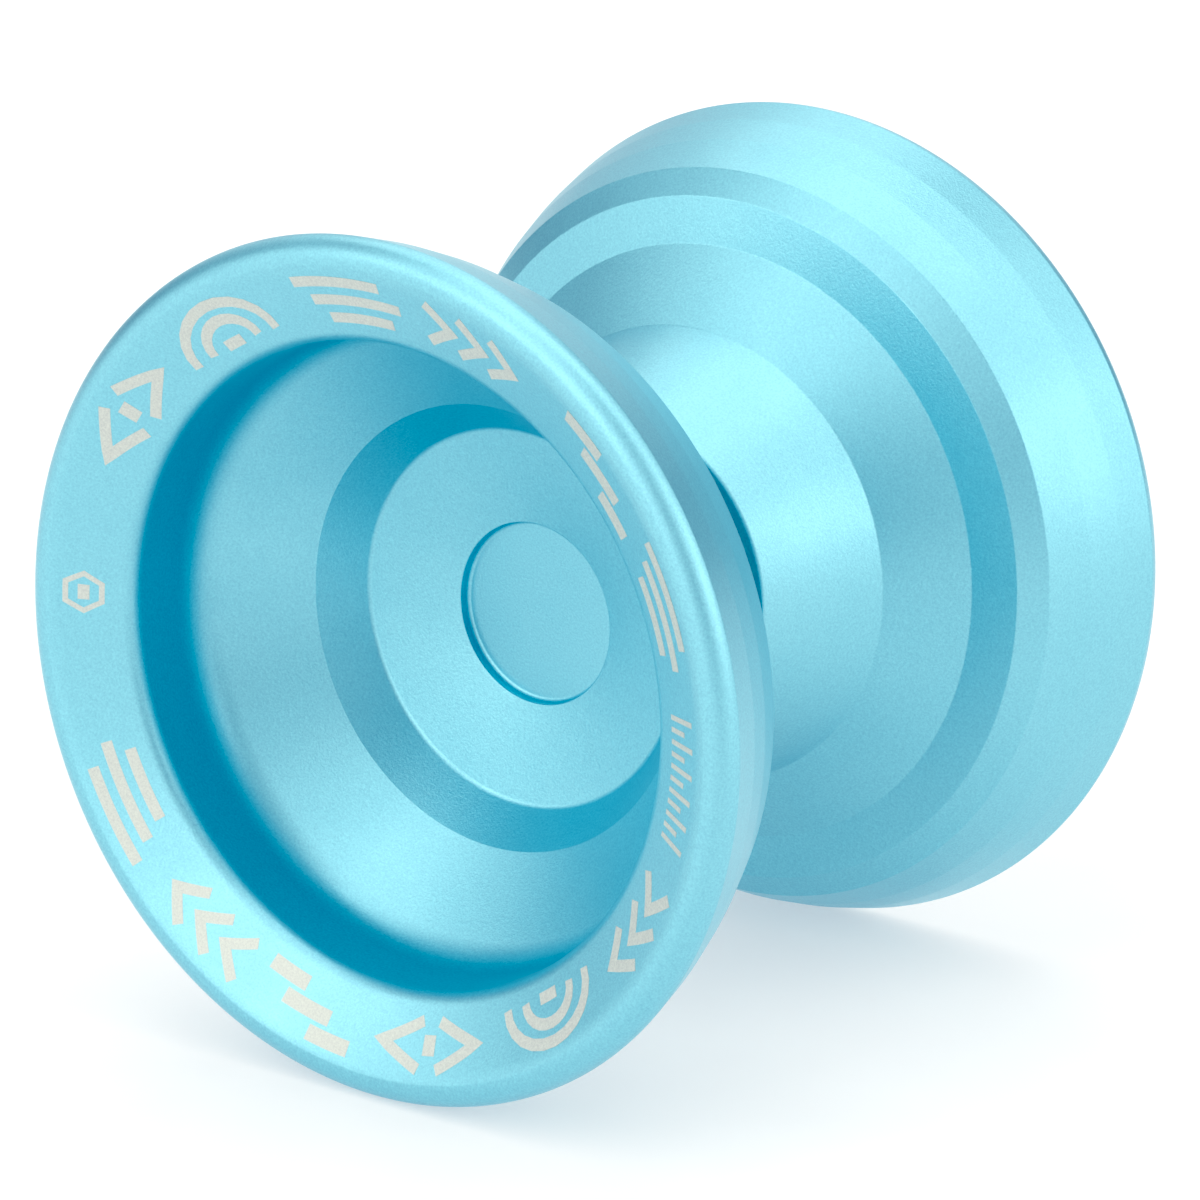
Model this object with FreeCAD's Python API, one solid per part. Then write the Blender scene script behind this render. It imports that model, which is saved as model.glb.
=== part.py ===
"""Metal yo-yo: two machined halves screwed together on an axle, with a ball bearing between them.

Millimetres. The yo-yo stands on its two rims with +Z up. Its axis lies along Y, the origin is the
bearing's centre, and the left half is on the -Y side. The two halves are mirror images.
A profile is given as (radius from the axis, distance outward from the mid-plane).
"""
import FreeCAD, Part
import math
import os

Vector = FreeCAD.Vector

# ---- driving dimensions: the halves -------------------------------------------------------------
RIM_RADIUS = 27.95            # widest circle of each half
RIM_EDGE_OUT = 22.85          # where that circle lies
LIP_OUT = 24.25               # narrow flat land round each lip, the outermost plane
LIP_LAND = (26.2, 26.5)       # inner and outer radius of that land
LIP_ARC_MIDDLE = (27.508, 23.843)
FLARE = (                     # corners of the facets between the response wall and the rim
    (13.9, 7.2), (15.4, 10.15), (20.25, 13.25), (23.3, 13.98),
    (24.95, 15.24), (26.32, 18.04), (27.22, 20.38),
)

FLANGE_EDGE = (25.65, 24.08)  # outer edge of the flange, just inside the lip's land
FLANGE_SLOPE = 0.5            # fall of the flange towards the cup for each millimetre of radius
CUP_WALL_RADIUS = 20.92       # straight wall inside each cup
CUP_CONE_RISE = 0.775         # light cone: rise outward for each millimetre of radius
CUP_STEP_RADIUS = 14.67       # sharp edge between the light cone and the steep cone
CUP_STEP_OUT = 11.0
CUP_DISC_RADIUS = 12.49       # edge of the dished disc
CUP_DISC_OUT = 8.11
RECESS_RADIUS = 6.01          # round recess in the middle of the disc
RECESS_EDGE_OUT = 6.75
RECESS_DEPTH = 0.75

HALF_GAP = 2.3                # half of the string gap, at the response walls
HUB_RADIUS = 11.5             # outer edge of the response wall

# ---- driving dimensions: bearing, 1/4 x 1/2 x 3/16 inch -----------------------------------------
BEARING_OUTER_RADIUS = 6.35
BEARING_BORE_RADIUS = 3.175
BEARING_HALF_WIDTH = 2.381
BALL_COUNT = 10
BALL_RADIUS = 0.79375         # 1/16 inch balls
PITCH_RADIUS = (BEARING_OUTER_RADIUS + BEARING_BORE_RADIUS) / 2
RACEWAY_RADIUS = 0.82
INNER_RACE_RADIUS = 4.2
OUTER_RACE_SHOULDER = 5.25
RACE_CHAMFER = 0.2

SHIELD_SEAT_OUT = 1.75        # shields rest on this face inside the outer race
SHIELD_SEAT_RADIUS = 5.75
SHIELD_THICKNESS = 0.2
SHIELD_RADII = (4.35, 5.7)
SNAP_GROOVE_RADIUS = 5.95
SNAP_GROOVE_OUT = (1.97, 2.21)
SNAP_RING_RADII = (5.5, 5.92)
SNAP_RING_OUT = (1.99, 2.19)
SNAP_RING_OPENING_DEG = 26.0

CAGE_RADII = (4.42, 5.1)
CAGE_ALONG = (-1.3, 0.5)
POCKET_CLEARANCE = 0.08

# ---- driving dimensions: axle and seats ---------------------------------------------------------
AXLE_RADIUS = 2.0             # M4 x 0.7 set screw, 10 mm long
AXLE_LENGTH = 10.0
THREAD_PITCH = 0.7
THREAD_DEPTH = 0.38
SOCKET_ACROSS_FLATS = 2.0
SOCKET_DEPTH = 2.2
AXLE_END_CHAMFER = 0.45
BORE_BOTTOM_OUT = 5.2
BORE_TIGHT_RADIUS = AXLE_RADIUS - 0.02      # left half: the screw is locked in
BORE_RUNNING_RADIUS = AXLE_RADIUS + 0.03    # right half: it screws on and off
SEAT_CLEARANCE = 0.02
SEAT_END_OUT = 0.25
SHOULDER_RADIUS = 3.9         # ring that bears on the inner race only
POCKET_RADIUS = 6.75          # clearance pocket round the bearing
POCKET_FLOOR_OUT = 2.75

# ---- driving dimensions: response pads ----------------------------------------------------------
PAD_GROOVE_RADII = (7.2, 9.55)
PAD_GROOVE_OUT = 3.45
PAD_SIDE_CLEARANCE = 0.05
PAD_THICKNESS = 1.1
PAD_EDGE_RADIUS = 0.12


def towards(start, end, distance):
    """Point at a distance from start on the way to end."""
    run = end.sub(start)
    return start.add(run.multiply(distance / run.Length))


def rounded_face(corners):
    """Face in the XY plane through corners (x, y, rounding); rounding 0 keeps a corner sharp."""
    points = [Vector(x, y, 0) for x, y, _ in corners]
    edges = []
    trimmed = []
    for i, (_, _, rounding) in enumerate(corners):
        corner = points[i]
        before = points[i - 1]
        after = points[(i + 1) % len(points)]
        if not rounding:
            trimmed.append((corner, corner))
            continue
        angle = before.sub(corner).getAngle(after.sub(corner))
        reach = rounding / math.tan(angle / 2)
        start = towards(corner, before, reach)
        end = towards(corner, after, reach)
        middle_line = start.add(end).multiply(0.5)
        bulge = rounding / math.sin(angle / 2) - rounding
        trimmed.append((start, end))
        edges.append(Part.Arc(start, towards(corner, middle_line, bulge), end).toShape())
    for i, (_, leaving) in enumerate(trimmed):
        arriving = trimmed[(i + 1) % len(trimmed)][0]
        if leaving.sub(arriving).Length > 1e-6:
            edges.append(Part.LineSegment(leaving, arriving).toShape())
    return Part.Face(Part.Wire(Part.__sortEdges__(edges)))


def turned(face):
    """Solid made by turning a face about the Y axis."""
    return face.revolve(Vector(0, 0, 0), Vector(0, 1, 0), 360)


def ring(radii, along):
    """Plain ring between two radii and two places along the axis."""
    inner, outer = radii
    low, high = along
    return turned(rounded_face([(inner, low, 0), (outer, low, 0), (outer, high, 0), (inner, high, 0)]))


def mirrored(shape):
    """The same piece on the other side of the mid-plane."""
    return shape.mirror(Vector(0, 0, 0), Vector(0, 1, 0))


def string_side(bore_radius):
    """Corners from the bottom of the axle bore out to the rim's widest circle."""
    seat_radius = BEARING_BORE_RADIUS - SEAT_CLEARANCE
    pad_inner, pad_outer = PAD_GROOVE_RADII
    return [
        (0, BORE_BOTTOM_OUT, 0),
        (bore_radius, BORE_BOTTOM_OUT, 0),
        (bore_radius, SEAT_END_OUT + 0.3, 0),
        (bore_radius + 0.3, SEAT_END_OUT, 0),
        (seat_radius - 0.15, SEAT_END_OUT, 0),
        (seat_radius, SEAT_END_OUT + 0.15, 0),
        (seat_radius, BEARING_HALF_WIDTH, 0),
        (SHOULDER_RADIUS, BEARING_HALF_WIDTH, 0),
        (SHOULDER_RADIUS, POCKET_FLOOR_OUT, 0),
        (POCKET_RADIUS, POCKET_FLOOR_OUT, 0.12),
        (POCKET_RADIUS, HALF_GAP, 0.08),
        (pad_inner, HALF_GAP, 0.08),
        (pad_inner, PAD_GROOVE_OUT, 0),
        (pad_outer, PAD_GROOVE_OUT, 0),
        (pad_outer, HALF_GAP, 0.1),
        (HUB_RADIUS, HALF_GAP, 0.3),
        *((radius, outward, 0) for radius, outward in FLARE),
        (RIM_RADIUS, RIM_EDGE_OUT, 0),
    ]


def cup_side():
    """Corners from the lip's land down into the cup and to the axis."""
    flange_end = FLANGE_EDGE[1] - FLANGE_SLOPE * (FLANGE_EDGE[0] - CUP_WALL_RADIUS)
    wall_foot = CUP_STEP_OUT + CUP_CONE_RISE * (CUP_WALL_RADIUS - CUP_STEP_RADIUS)
    recess_floor = RECESS_EDGE_OUT - RECESS_DEPTH
    return [
        (LIP_LAND[1], LIP_OUT, 0),
        (LIP_LAND[0], LIP_OUT, 0),
        (*FLANGE_EDGE, 0),
        (CUP_WALL_RADIUS, flange_end, 1.2),
        (CUP_WALL_RADIUS, wall_foot, 3.0),
        (CUP_STEP_RADIUS, CUP_STEP_OUT, 0.08),
        (CUP_DISC_RADIUS, CUP_DISC_OUT, 0.5),
        (RECESS_RADIUS, RECESS_EDGE_OUT, 0.1),
        (RECESS_RADIUS, recess_floor, 0.3),
        (0, recess_floor, 0),
    ]


def half(bore_radius):
    """One machined half, with its mid-plane at y = 0 and its cup towards +Y."""
    body = turned(rounded_face(string_side(bore_radius) + cup_side()))
    rim_edge = Vector(RIM_RADIUS, RIM_EDGE_OUT, 0)
    land_edge = Vector(LIP_LAND[1], LIP_OUT, 0)
    arc = Part.Arc(rim_edge, Vector(*LIP_ARC_MIDDLE, 0), land_edge).toShape()
    chord = Part.LineSegment(land_edge, rim_edge).toShape()
    rounded_shoulder = turned(Part.Face(Part.Wire([arc, chord])))
    return body.fuse(rounded_shoulder).removeSplitter().Solids[0]


def threaded_outline():
    """Closed outline of the set screw: chamfered ends and V-shaped thread rings."""
    end = AXLE_LENGTH / 2
    root = AXLE_RADIUS - THREAD_DEPTH
    corners = [(0, -end, 0), (AXLE_RADIUS - AXLE_END_CHAMFER, -end, 0)]
    turns = int((AXLE_LENGTH - 2 * AXLE_END_CHAMFER) / THREAD_PITCH)
    start = -turns * THREAD_PITCH / 2
    crest = THREAD_PITCH * 0.12
    flat = THREAD_PITCH * 0.06
    corners.append((AXLE_RADIUS, start - crest, 0))
    for turn in range(turns):
        y = start + turn * THREAD_PITCH
        corners.append((AXLE_RADIUS, y + crest, 0))
        corners.append((root, y + THREAD_PITCH / 2 - flat, 0))
        corners.append((root, y + THREAD_PITCH / 2 + flat, 0))
        corners.append((AXLE_RADIUS, y + THREAD_PITCH - crest, 0))
    corners.append((AXLE_RADIUS, -start + crest, 0))
    corners.append((AXLE_RADIUS - AXLE_END_CHAMFER, end, 0))
    corners.append((0, end, 0))
    return corners


def axle_screw():
    """Headless set screw with a hexagon socket in its right end."""
    body = turned(rounded_face(threaded_outline()))
    across_corners = SOCKET_ACROSS_FLATS / math.cos(math.radians(30))
    floor = AXLE_LENGTH / 2 - SOCKET_DEPTH
    corners = []
    for side in range(7):
        angle = math.radians(60 * side)
        x = across_corners / 2 * math.cos(angle)
        z = across_corners / 2 * math.sin(angle)
        corners.append(Vector(x, floor, z))
    socket = Part.Face(Part.makePolygon(corners)).extrude(Vector(0, SOCKET_DEPTH + 1, 0))
    return body.cut(socket)


def raceway():
    """Round groove that the balls run in."""
    return Part.makeTorus(PITCH_RADIUS, RACEWAY_RADIUS, Vector(0, 0, 0), Vector(0, 1, 0))


def inner_race():
    """Inner ring of the bearing."""
    w = BEARING_HALF_WIDTH
    c = RACE_CHAMFER
    r0 = BEARING_BORE_RADIUS
    r1 = INNER_RACE_RADIUS
    outline = [(r0, -w + c), (r0 + c, -w), (r1, -w), (r1, w), (r0 + c, w), (r0, w - c)]
    return turned(rounded_face([(x, y, 0) for x, y in outline])).cut(raceway())


def outer_race():
    """Outer ring of the bearing, stepped inside for the shields and their snap rings."""
    w = BEARING_HALF_WIDTH
    c = RACE_CHAMFER
    r = BEARING_OUTER_RADIUS
    shell = turned(rounded_face([
        (OUTER_RACE_SHOULDER, -w, 0), (r - c, -w, 0), (r, -w + c, 0),
        (r, w - c, 0), (r - c, w, 0), (OUTER_RACE_SHOULDER, w, 0),
    ]))
    shell = shell.cut(raceway())
    for side in (-1, 1):
        seat = sorted((side * SHIELD_SEAT_OUT, side * (w + 1)))
        groove = sorted(side * out for out in SNAP_GROOVE_OUT)
        shell = shell.cut(ring((OUTER_RACE_SHOULDER - 1, SHIELD_SEAT_RADIUS), seat))
        shell = shell.cut(ring((OUTER_RACE_SHOULDER - 1, SNAP_GROOVE_RADIUS), groove))
    return shell


def ball_centre(index):
    """Where one ball sits; the first one is at the top."""
    angle = 2 * math.pi * index / BALL_COUNT
    return Vector(PITCH_RADIUS * math.sin(angle), 0, PITCH_RADIUS * math.cos(angle))


def ball(index):
    """One bearing ball."""
    return Part.makeSphere(BALL_RADIUS, ball_centre(index))


def cage():
    """Crown-shaped retainer that snaps over the balls from the left."""
    body = ring(CAGE_RADII, CAGE_ALONG)
    for index in range(BALL_COUNT):
        outward = ball_centre(index).normalize()
        start = outward * (CAGE_RADII[0] - 1)
        length = CAGE_RADII[1] - CAGE_RADII[0] + 2
        pocket = Part.makeCylinder(BALL_RADIUS + POCKET_CLEARANCE, length, start, outward)
        body = body.cut(pocket)
    return body


def shield():
    """Thin dust shield on the right side of the bearing."""
    return ring(SHIELD_RADII, (SHIELD_SEAT_OUT, SHIELD_SEAT_OUT + SHIELD_THICKNESS))


def snap_ring():
    """Open wire ring that holds the right shield, with its opening at the top."""
    body = ring(SNAP_RING_RADII, SNAP_RING_OUT)
    reach = 2 * SNAP_RING_RADII[1]
    half_angle = math.radians(SNAP_RING_OPENING_DEG / 2)
    y = SNAP_RING_OUT[0] - 0.5
    across = reach * math.tan(half_angle)
    corners = [Vector(0, y, 0), Vector(across, y, reach), Vector(-across, y, reach), Vector(0, y, 0)]
    opening = Part.Face(Part.makePolygon(corners)).extrude(Vector(0, 2, 0))
    return body.cut(opening)


def response_pad():
    """Silicone ring glued into the right half's groove; it grips the string."""
    inner = PAD_GROOVE_RADII[0] + PAD_SIDE_CLEARANCE
    outer = PAD_GROOVE_RADII[1] - PAD_SIDE_CLEARANCE
    face = PAD_GROOVE_OUT - PAD_THICKNESS
    return turned(rounded_face([
        (inner, PAD_GROOVE_OUT, 0), (outer, PAD_GROOVE_OUT, 0),
        (outer, face, PAD_EDGE_RADIUS), (inner, face, PAD_EDGE_RADIUS),
    ]))


def pieces():
    """Every sub-part, by name."""
    made = {
        "left_half": mirrored(half(BORE_TIGHT_RADIUS)),
        "right_half": half(BORE_RUNNING_RADIUS),
        "axle_screw": axle_screw(),
        "bearing_inner_race": inner_race(),
        "bearing_outer_race": outer_race(),
        "bearing_cage": cage(),
        "bearing_shield_left": mirrored(shield()),
        "bearing_shield_right": shield(),
        "snap_ring_left": mirrored(snap_ring()),
        "snap_ring_right": snap_ring(),
        "response_pad_left": mirrored(response_pad()),
        "response_pad_right": response_pad(),
    }
    for index in range(BALL_COUNT):
        made[f"bearing_ball_{index + 1:02d}"] = ball(index)
    return made


def export_all():
    """Write one STEP file for each sub-part."""
    os.makedirs("parts", exist_ok=True)
    for name, shape in pieces().items():
        shape.exportStep(f"parts/{name}.step")


export_all()
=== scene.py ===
import math

import bmesh
import bpy
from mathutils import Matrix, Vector


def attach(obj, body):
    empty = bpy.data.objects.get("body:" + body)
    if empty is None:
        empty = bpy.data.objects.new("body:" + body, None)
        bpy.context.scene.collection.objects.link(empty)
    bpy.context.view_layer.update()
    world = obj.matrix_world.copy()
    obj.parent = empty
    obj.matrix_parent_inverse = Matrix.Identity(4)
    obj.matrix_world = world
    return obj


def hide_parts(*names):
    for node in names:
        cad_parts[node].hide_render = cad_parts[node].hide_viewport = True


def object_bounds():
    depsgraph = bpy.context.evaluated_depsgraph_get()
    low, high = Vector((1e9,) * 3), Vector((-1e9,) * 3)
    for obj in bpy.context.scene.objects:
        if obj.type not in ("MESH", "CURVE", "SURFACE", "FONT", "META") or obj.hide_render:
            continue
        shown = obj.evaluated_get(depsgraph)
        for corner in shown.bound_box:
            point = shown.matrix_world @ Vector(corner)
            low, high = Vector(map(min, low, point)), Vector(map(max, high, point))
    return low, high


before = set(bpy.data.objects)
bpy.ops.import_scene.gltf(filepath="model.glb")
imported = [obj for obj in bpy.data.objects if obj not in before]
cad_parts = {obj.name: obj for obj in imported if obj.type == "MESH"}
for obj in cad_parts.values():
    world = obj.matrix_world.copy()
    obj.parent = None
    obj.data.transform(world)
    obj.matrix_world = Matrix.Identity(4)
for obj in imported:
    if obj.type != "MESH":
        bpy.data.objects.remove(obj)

cad_low, cad_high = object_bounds()

MM = 0.001
FLOOR = cad_low.z


# ---- mesh objects -------------------------------------------------------------------------------
def finished(mesh, name, material, smooth=True):
    """Mesh object from a bmesh."""
    for face in mesh.faces:
        face.smooth = smooth
    data = bpy.data.meshes.new(name)
    mesh.to_mesh(data)
    mesh.free()
    data.materials.append(material)
    piece = bpy.data.objects.new(name, data)
    bpy.context.collection.objects.link(piece)
    return piece


# ---- turned pieces ------------------------------------------------------------------------------
SEGMENTS = 288                # facets round every turned piece
EDGE_BREAK = 0.06 * MM        # how far the machined edges are rounded off
BREAK_STEP = math.radians(20) # most that a rounded-off edge turns from facet to facet
ARC_STEP = 0.9 * MM           # outline pieces shorter than this belong to a rounded corner
ARC_TURN = math.radians(16)   # and so do corners that turn less than this
STRAIGHT = 1e-3               # a corner that turns less than this, in radians, is none
SAME_POINT = 0.001 * MM       # outline points closer than this are one point
WELD = 1e-7                   # mesh vertices closer than this, in metres, are one vertex
ON_PLANE = 2e-8               # vertices this near to a plane, in metres, lie in it
ON_AXIS = 1e-9


def seam(node):
    """The CAD solid's outline as (radius, place along Y), read from the seam of its mesh."""
    mesh = bmesh.new()
    mesh.from_mesh(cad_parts[node].data)
    bmesh.ops.remove_doubles(mesh, verts=mesh.verts, dist=WELD)
    on_seam = {v for v in mesh.verts if abs(v.co.z) < ON_PLANE and v.co.x > 0}
    links = {v: [] for v in on_seam}
    for edge in mesh.edges:
        a, b = edge.verts
        if a in on_seam and b in on_seam:
            links[a].append(b)
            links[b].append(a)
    ends = [v for v in on_seam if len(links[v]) == 1]
    here = min(ends or on_seam, key=lambda v: (v.co.y, v.co.x))
    chain, last = [], None
    while here is not None and (here.co.x, here.co.y) not in chain:
        chain.append((here.co.x, here.co.y))
        onward = [v for v in links[here] if v is not last]
        last, here = here, onward[0] if onward else None
    mesh.free()
    return chain, bool(ends)


def turn_at(before, corner, after):
    """How sharply an outline turns at a corner, in radians."""
    return abs((corner - before).angle_signed(after - corner))


def broken_edges(chain, open_ends):
    """The outline with collinear points dropped and every corner slightly rounded."""
    points = [Vector(p) for p in chain]
    if open_ends:
        points = [Vector((0, points[0].y))] + points + [Vector((0, points[-1].y))]
    count = len(points)
    kept = []
    for i, point in enumerate(points):
        fixed = open_ends and i in (0, count - 1)
        if fixed or turn_at(points[i - 1], point, points[(i + 1) % count]) > STRAIGHT:
            kept.append(point)
    outline = []
    for i, corner in enumerate(kept):
        if open_ends and i in (0, len(kept) - 1):
            outline.append(corner)
            continue
        before = kept[i - 1]
        after = kept[(i + 1) % len(kept)]
        shorter = min((corner - before).length, (after - corner).length)
        turn = turn_at(before, corner, after)
        of_arc = shorter < ARC_STEP and turn < ARC_TURN
        reach = shorter / 2 if of_arc else min(EDGE_BREAK, shorter / 3)
        start = corner + (before - corner).normalized() * reach
        end = corner + (after - corner).normalized() * reach
        steps = 1 if of_arc else max(2, math.ceil(turn / BREAK_STEP))
        for step in range(steps + 1):
            t = step / steps
            outline.append(start * (1 - t) ** 2 + corner * 2 * t * (1 - t) + end * t ** 2)
    following = outline[1:] + outline[:1]
    return [here for here, after in zip(outline, following) if (after - here).length > SAME_POINT]


def turned(node, material, body):
    """Finely turned copy of a CAD node that is round about the Y axis."""
    chain, open_ends = seam(node)
    outline = broken_edges(chain, open_ends)
    mesh = bmesh.new()
    rings = []
    for point in outline:
        if point.x < ON_AXIS:
            rings.append([mesh.verts.new((0, point.y, 0))])
            continue
        ring = []
        for i in range(SEGMENTS):
            angle = 2 * math.pi * i / SEGMENTS
            ring.append(mesh.verts.new((point.x * math.cos(angle), point.y, point.x * math.sin(angle))))
        rings.append(ring)
    pairs = list(zip(rings, rings[1:]))
    if not open_ends:
        pairs.append((rings[-1], rings[0]))
    for a, b in pairs:
        for i in range(SEGMENTS):
            j = (i + 1) % SEGMENTS
            corners = [a[i % len(a)], a[j % len(a)], b[j % len(b)], b[i % len(b)]]
            mesh.faces.new(dict.fromkeys(corners))
    bmesh.ops.recalc_face_normals(mesh, faces=mesh.faces)
    piece = finished(mesh, f"turned_{node}", material)
    weighted = piece.modifiers.new("weighted_normals", "WEIGHTED_NORMAL")
    weighted.weight = 100
    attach(piece, body)
    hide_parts(node)


# ---- materials ----------------------------------------------------------------------------------
class Shader:
    """A material with one Principled shader, and short calls for adding nodes to it."""

    def __init__(self, name, **sockets):
        self.material = bpy.data.materials.new(name)
        self.material.use_nodes = True
        self.tree = self.material.node_tree
        self.surface = self.tree.nodes["Principled BSDF"]
        for socket, value in sockets.items():
            self.surface.inputs[socket.replace("_", " ")].default_value = value
        self.place = self.add("ShaderNodeTexCoord").outputs["Object"]

    def add(self, kind, inputs=(), **settings):
        """Adds a node; inputs are (socket, value or output to link)."""
        node = self.tree.nodes.new(kind)
        for name, value in settings.items():
            setattr(node, name, value)
        for socket, value in inputs:
            if isinstance(value, bpy.types.NodeSocket):
                self.tree.links.new(value, node.inputs[socket])
            else:
                node.inputs[socket].default_value = value
        return node

    def noise(self, size, detail=2.0, roughness=0.5, place=None):
        """Noise whose features are about size metres across."""
        node = self.add("ShaderNodeTexNoise", [
            ("Vector", place or self.place), ("Scale", 1 / size),
            ("Detail", detail), ("Roughness", roughness),
        ])
        return node.outputs["Fac"]

    def between(self, value, low, high, from_low=0.3, from_high=0.7):
        """Maps a noise value to a range of numbers."""
        node = self.add("ShaderNodeMapRange", [
            ("Value", value), ("From Min", from_low), ("From Max", from_high),
            ("To Min", low), ("To Max", high),
        ])
        return node.outputs["Result"]

    def colours(self, value, first, second, from_low=0.3, from_high=0.7):
        """Blends two colours by a noise value."""
        factor = self.between(value, 0, 1, from_low, from_high)
        node = self.add("ShaderNodeMix", data_type="RGBA")
        self.tree.links.new(factor, node.inputs["Factor"])
        colour_inputs = [s for s in node.inputs if s.type == "RGBA"]
        colour_inputs[0].default_value = (*first, 1)
        colour_inputs[1].default_value = (*second, 1)
        return next(s for s in node.outputs if s.type == "RGBA")

    def bump(self, height, depth, strength=1.0):
        """Bump from a height; depth is in metres."""
        node = self.add("ShaderNodeBump", [
            ("Height", height), ("Distance", depth), ("Strength", strength),
        ])
        return node.outputs["Normal"]

    def wire(self, socket, output):
        """Links an output to the shader."""
        self.tree.links.new(output, self.surface.inputs[socket])


def anodised():
    """Cyan anodised aluminium over a fine bead-blasted surface."""
    shader = Shader("cyan_anodised", Metallic=1.0, Coat_Weight=0.4, Coat_Roughness=0.3, Coat_IOR=1.6)
    grain = shader.noise(0.15 * MM, detail=3, roughness=0.65)
    cloud = shader.noise(6 * MM, detail=3)
    shader.wire("Base Color", shader.colours(grain, (0.255, 0.555, 0.645), (0.315, 0.68, 0.765)))
    shader.wire("Roughness", shader.between(cloud, 0.39, 0.46))
    shader.wire("Normal", shader.bump(grain, 0.02 * MM, 1.0))
    return shader.material


def etched():
    """Bare aluminium where the laser took the dye away."""
    shader = Shader("laser_etched", Metallic=0.85)
    grain = shader.noise(0.14 * MM, detail=3, roughness=0.7)
    shader.wire("Base Color", shader.colours(grain, (0.56, 0.58, 0.515), (0.74, 0.765, 0.685)))
    shader.wire("Roughness", shader.between(grain, 0.5, 0.7))
    shader.wire("Normal", shader.bump(grain, 0.01 * MM, 0.6))
    return shader.material


def steel(name, colour, roughness):
    """Ground steel: fine lines round the Y axis."""
    shader = Shader(name, Metallic=1.0)
    parts = shader.add("ShaderNodeSeparateXYZ", [("Vector", shader.place)])
    squares = []
    for axis in ("X", "Z"):
        power = shader.add("ShaderNodeMath", [(0, parts.outputs[axis]), (1, 2.0)], operation="POWER")
        squares.append(power.outputs[0])
    total = shader.add("ShaderNodeMath", [(0, squares[0]), (1, squares[1])])
    radius = shader.add("ShaderNodeMath", [(0, total.outputs[0])], operation="SQRT")
    ringed = shader.add("ShaderNodeCombineXYZ", [("X", radius.outputs[0]), ("Y", parts.outputs["Y"])])
    lines = shader.noise(0.05 * MM, detail=2, place=ringed.outputs[0])
    tint = shader.noise(3 * MM)
    darker = tuple(channel * 0.88 for channel in colour)
    shader.wire("Base Color", shader.colours(tint, darker, colour))
    shader.wire("Roughness", shader.between(lines, roughness * 0.8, roughness * 1.3))
    shader.wire("Normal", shader.bump(lines, 0.003 * MM, 0.4))
    return shader.material


def silicone():
    """Translucent white silicone rubber, faintly mottled."""
    shader = Shader("silicone", Subsurface_Weight=0.25, Subsurface_Scale=0.001, IOR=1.42)
    mottle = shader.noise(0.5 * MM, detail=3)
    shader.wire("Base Color", shader.colours(mottle, (0.78, 0.80, 0.80), (0.88, 0.89, 0.88)))
    shader.wire("Roughness", shader.between(mottle, 0.42, 0.58))
    shader.wire("Normal", shader.bump(mottle, 0.02 * MM, 0.3))
    return shader.material


CYAN = anodised()
SILVER = etched()
RACE = steel("bearing_steel", (0.62, 0.62, 0.61), 0.22)
BALL = steel("ball_steel", (0.72, 0.72, 0.72), 0.06)
CAGE = steel("cage_steel", (0.52, 0.50, 0.46), 0.38)
SHIELD = steel("shield_steel", (0.60, 0.60, 0.61), 0.28)
AXLE = steel("axle_steel", (0.32, 0.31, 0.30), 0.35)
PAD = silicone()

turned("left_half", CYAN, "left_side")
turned("right_half", CYAN, "right_side")
turned("bearing_inner_race", RACE, "left_side")
turned("bearing_outer_race", RACE, "outer_ring")
turned("bearing_shield_left", SHIELD, "outer_ring")
turned("bearing_shield_right", SHIELD, "outer_ring")
turned("response_pad_left", PAD, "left_side")
turned("response_pad_right", PAD, "right_carriage")

KEPT_NODES = {                # CAD nodes that stay, by the start of their names
    "axle": AXLE,
    "bearing_ball": BALL,
    "bearing_cage": CAGE,
    "snap_ring": SHIELD,
}
for name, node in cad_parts.items():
    for prefix, material in KEPT_NODES.items():
        if name.startswith(prefix):
            node.data.materials[0] = material


# ---- laser-etched marks on the flanges ----------------------------------------------------------
MARK_RADIUS = 23.9 * MM       # middle of the band of marks
MARK_RAISED = 0.012 * MM      # how far a mark stands off the flange
MARK_THICKNESS = 0.04 * MM
MARK_STEP = 0.45 * MM         # longest piece of a stroke
FINE_LINE = 0.34              # widths of strokes, in millimetres like all the marks' points
LINE = 0.70
BROAD_LINE = 0.95
ARCH_STEPS = 12
TICKS = 11
TICK_PITCH = 0.8
BADGE_RADIUS = 1.25


def bars(rows, width):
    """Level bars, one for each (height, start, end)."""
    return [([(start, height), (end, height)], width) for height, start, end in rows]


def slats():
    """Three level bars that slide past each other."""
    return bars([(1.25, -3.9, 2.6), (0, -3.0, 3.9), (-1.25, -2.2, 3.0)], LINE)


def staircase():
    """Three short broad bars in steps."""
    return bars([(1.2, -3.9, -0.7), (0, -1.9, 1.9), (-1.2, 0.7, 3.9)], BROAD_LINE)


def chevrons():
    """Three arrowheads in a row."""
    return [([(x - 1.2, 1.35), (x + 0.7, 0), (x - 1.2, -1.35)], LINE) for x in (-2.4, 0.1, 2.6)]


def split_diamond():
    """A wide diamond parted in the middle, with a bar in the gap."""
    left = [(-0.7, 1.4), (-3.8, 0), (-0.7, -1.4)]
    right = [(-x, y) for x, y in left]
    return [(left, LINE), (right, LINE), ([(0, -0.6), (0, 0.6)], BROAD_LINE)]


def arches():
    """Two nested arches over a short bar."""
    strokes = [([(-0.8, -1.35), (0.8, -1.35)], LINE)]
    for half_width, rise in ((2.2, 1.7), (3.9, 2.8)):
        arch = []
        for step in range(ARCH_STEPS + 1):
            angle = math.pi * step / ARCH_STEPS
            arch.append((-half_width * math.cos(angle), -1.45 + rise * math.sin(angle)))
        strokes.append((arch, LINE))
    return strokes


def ticks():
    """A row of fine upright ticks, alternately long and short."""
    strokes = []
    for i in range(TICKS):
        top = 1.2 if i % 2 == 0 else 0.3
        x = (i - TICKS // 2) * TICK_PITCH
        strokes.append(([(x, -1.2), (x, top)], FINE_LINE))
    return strokes


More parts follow.
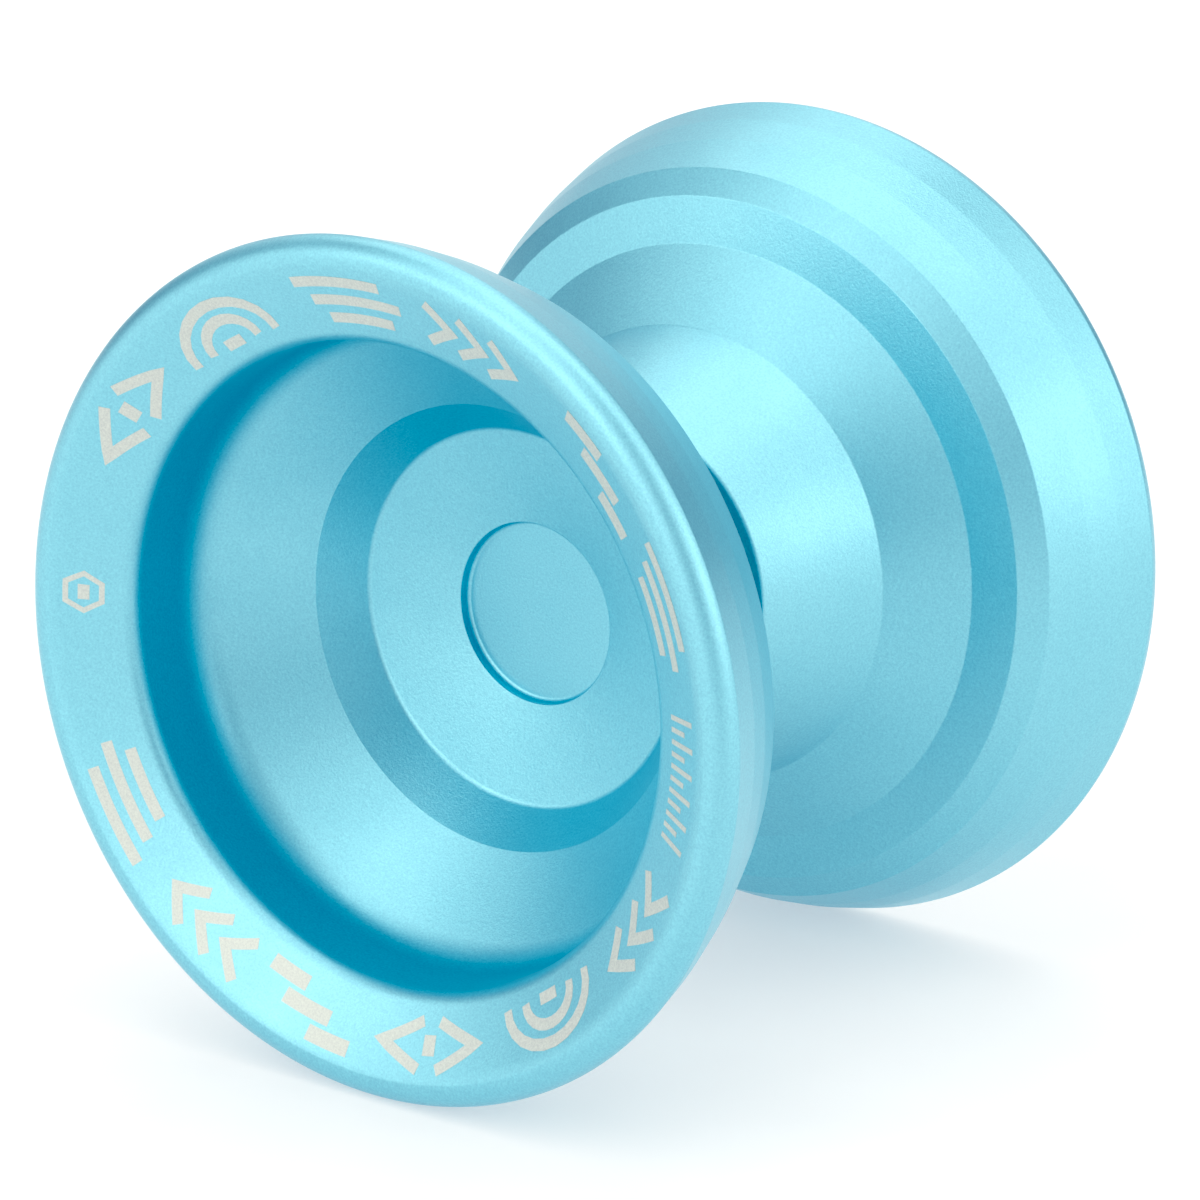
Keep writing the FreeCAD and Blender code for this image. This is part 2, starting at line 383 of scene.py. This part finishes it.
def badge():
    """A small hexagon with a bar in it."""
    angles = [math.pi * i / 3 for i in range(6)]
    corners = [(BADGE_RADIUS * math.cos(angle), BADGE_RADIUS * math.sin(angle)) for angle in angles]
    return [(corners + corners[:1], FINE_LINE), ([(-0.5, 0), (0.5, 0)], LINE)]


FLANGE_MARKS = (              # angle round the axis in degrees, and the mark there
    (177.4, badge), (144.8, split_diamond), (120.1, arches), (93.4, slats), (70.3, chevrons),
    (42.1, staircase), (21.1, slats), (-5.2, ticks), (-30.7, chevrons), (-54.2, arches),
    (-79.7, split_diamond), (-103.7, staircase), (-125.5, chevrons), (-149.2, slats),
)


def divided(points):
    """A stroke's points with more put in, so that it can follow the curve of the flange."""
    path = [Vector(points[0])]
    for point in points[1:]:
        start, end = path[-1], Vector(point)
        steps = max(1, math.ceil((end - start).length * MM / MARK_STEP))
        path += [start.lerp(end, (step + 1) / steps) for step in range(steps)]
    return path


def edges_of_stroke(points, width):
    """Left and right edge of a stroke, mitred at its corners."""
    path = divided(points)
    closed = (path[0] - path[-1]).length * MM < WELD
    sides = []
    for i, here in enumerate(path):
        before = path[i - 1] if i else path[-2] if closed else None
        after = path[i + 1] if i + 1 < len(path) else path[1] if closed else None
        arriving = (here - before).normalized() if before else (after - here).normalized()
        leaving = (after - here).normalized() if after else arriving
        along = (arriving + leaving).normalized()
        across = Vector((-along.y, along.x)) * (width / 2 / max(0.5, along.dot(arriving)))
        sides.append((here + across, here - across))
    return sides


def flange_line(node):
    """The straight part of a half's outline that carries the marks: inner end and outer end."""
    chain, _ = seam(node)
    across = [
        (a, b) for a, b in zip(chain, chain[1:])
        if min(a[0], b[0]) < MARK_RADIUS < max(a[0], b[0])
    ]
    return sorted(max(across, key=lambda pair: abs(pair[0][1])))


def etched_marks(node, body):
    """All the marks on one half, as one thin piece that rides with it."""
    inner, outer = (Vector(end) for end in flange_line(node))
    slope = (outer.y - inner.y) / (outer.x - inner.x)
    side = 1 if outer.y > 0 else -1
    mesh = bmesh.new()
    for degrees, mark in FLANGE_MARKS:
        for points, width in mark():
            rows = []
            for pair in edges_of_stroke(points, width):
                row = []
                for along, outward in pair:
                    radius = MARK_RADIUS + outward * MM
                    angle = math.radians(degrees) - along * MM / MARK_RADIUS
                    y = inner.y + slope * (radius - inner.x) + side * MARK_RAISED
                    row.append(mesh.verts.new((radius * math.cos(angle), y, radius * math.sin(angle))))
                rows.append(row)
            for (a, b), (c, d) in zip(rows, rows[1:]):
                mesh.faces.new((a, b, d, c) if side < 0 else (a, c, d, b))
    bmesh.ops.remove_doubles(mesh, verts=mesh.verts, dist=WELD)
    piece = finished(mesh, f"marks_{node}", SILVER, smooth=False)
    thick = piece.modifiers.new("thickness", "SOLIDIFY")
    thick.thickness = MARK_THICKNESS
    thick.offset = -1
    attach(piece, body)


etched_marks("left_half", "left_side")
etched_marks("right_half", "right_side")


# ---- camera, floor and light --------------------------------------------------------------------
AZIMUTH = math.radians(37.14)
ELEVATION = math.radians(17.19)
DISTANCE = 410.97 * MM        # from the camera to the middle of the yo-yo
SHIFT_RIGHT = 0.12 * MM
SHIFT_UP = -0.70 * MM
BACK = Vector((               # from the yo-yo to the camera
    math.sin(AZIMUTH) * math.cos(ELEVATION),
    -math.cos(AZIMUTH) * math.cos(ELEVATION),
    math.sin(ELEVATION),
))
RIGHT = Vector((math.cos(AZIMUTH), math.sin(AZIMUTH), 0))
UP = BACK.cross(RIGHT)

camera = bpy.data.objects.new("camera", bpy.data.cameras.new("camera"))
camera.data.lens = 190
camera.data.sensor_width = 36
camera.location = BACK * DISTANCE + RIGHT * SHIFT_RIGHT + UP * SHIFT_UP
camera.rotation_mode = "QUATERNION"
camera.rotation_quaternion = (-BACK).to_track_quat("-Z", "Y")
camera.data.clip_start = 0.01
bpy.context.collection.objects.link(camera)
bpy.context.scene.camera = camera

FLOOR_REACH = 10.0            # metres from the middle to each side
FLOOR_GLOW = 0.45             # the floor is lit a little from below, like a light table
ROOM_LIGHT = 0.375            # even white light from all round
BLACK_POINT = (0.09, 0.06, -0.05)  # deep shade loses red, then green, and keeps its blue
SOFTBOX_SPREAD = math.radians(41)  # width of each light as the yo-yo sees it
KEY_LIGHT = 0.60              # strengths of the lights
HIGH_LIGHT = 0.45
FILL_LIGHT = 0.15
LOW = 18                      # their heights, in degrees above the horizon
MIDDLE = 38
HIGH = 60
OVERHEAD = 88


def white_floor():
    """Matt floor that the yo-yo stands on, white by the light on it and its own faint glow."""
    shader = Shader("floor_white", Specular_IOR_Level=0.2, Emission_Strength=FLOOR_GLOW)
    tooth = shader.noise(8 * MM, detail=3)
    shader.wire("Base Color", shader.colours(tooth, (0.54, 0.54, 0.54), (0.56, 0.56, 0.56)))
    shader.wire("Roughness", shader.between(tooth, 0.8, 0.95))
    mesh = bmesh.new()
    bmesh.ops.create_grid(mesh, x_segments=4, y_segments=4, size=FLOOR_REACH)
    floor = finished(mesh, "floor", shader.material)
    floor.location.z = FLOOR


def softbox(turn, height, strength):
    """Broad soft light: turn degrees to the camera's right, height degrees above the horizon."""
    around = AZIMUTH + math.radians(turn)
    rise = math.radians(height)
    away = Vector((math.sin(around) * math.cos(rise), -math.cos(around) * math.cos(rise), math.sin(rise)))
    name = f"softbox_{turn}_{height}"
    data = bpy.data.lights.new(name, "SUN")
    data.angle = SOFTBOX_SPREAD
    data.energy = strength
    light = bpy.data.objects.new(name, data)
    light.location = away
    light.rotation_mode = "QUATERNION"
    light.rotation_quaternion = away.to_track_quat("Z", "Y")
    bpy.context.collection.objects.link(light)


def studio_lights():
    """Two low key lights beside the camera, high lights above, and weak fill lights all round."""
    for turn in (-50, 70):
        softbox(turn, LOW, KEY_LIGHT)
        softbox(turn - 30, LOW, KEY_LIGHT / 2)
    for turn in (-170, -20, 160):
        softbox(turn, LOW, FILL_LIGHT)
    for turn in range(-140, 180, 60):
        softbox(turn, MIDDLE, FILL_LIGHT)
    for turn in (-170, -50, 70):
        softbox(turn, HIGH, HIGH_LIGHT)
    softbox(0, OVERHEAD, HIGH_LIGHT)


white_floor()
studio_lights()

world = bpy.data.worlds.new("studio")
world.use_nodes = True
world.node_tree.nodes["Background"].inputs["Color"].default_value = (1, 1, 1, 1)
world.node_tree.nodes["Background"].inputs["Strength"].default_value = ROOM_LIGHT
bpy.context.scene.world = world

view = bpy.context.scene.view_settings
view.view_transform = "Standard"
view.use_curve_mapping = True
view.curve_mapping.black_level = BLACK_POINT
view.curve_mapping.update()
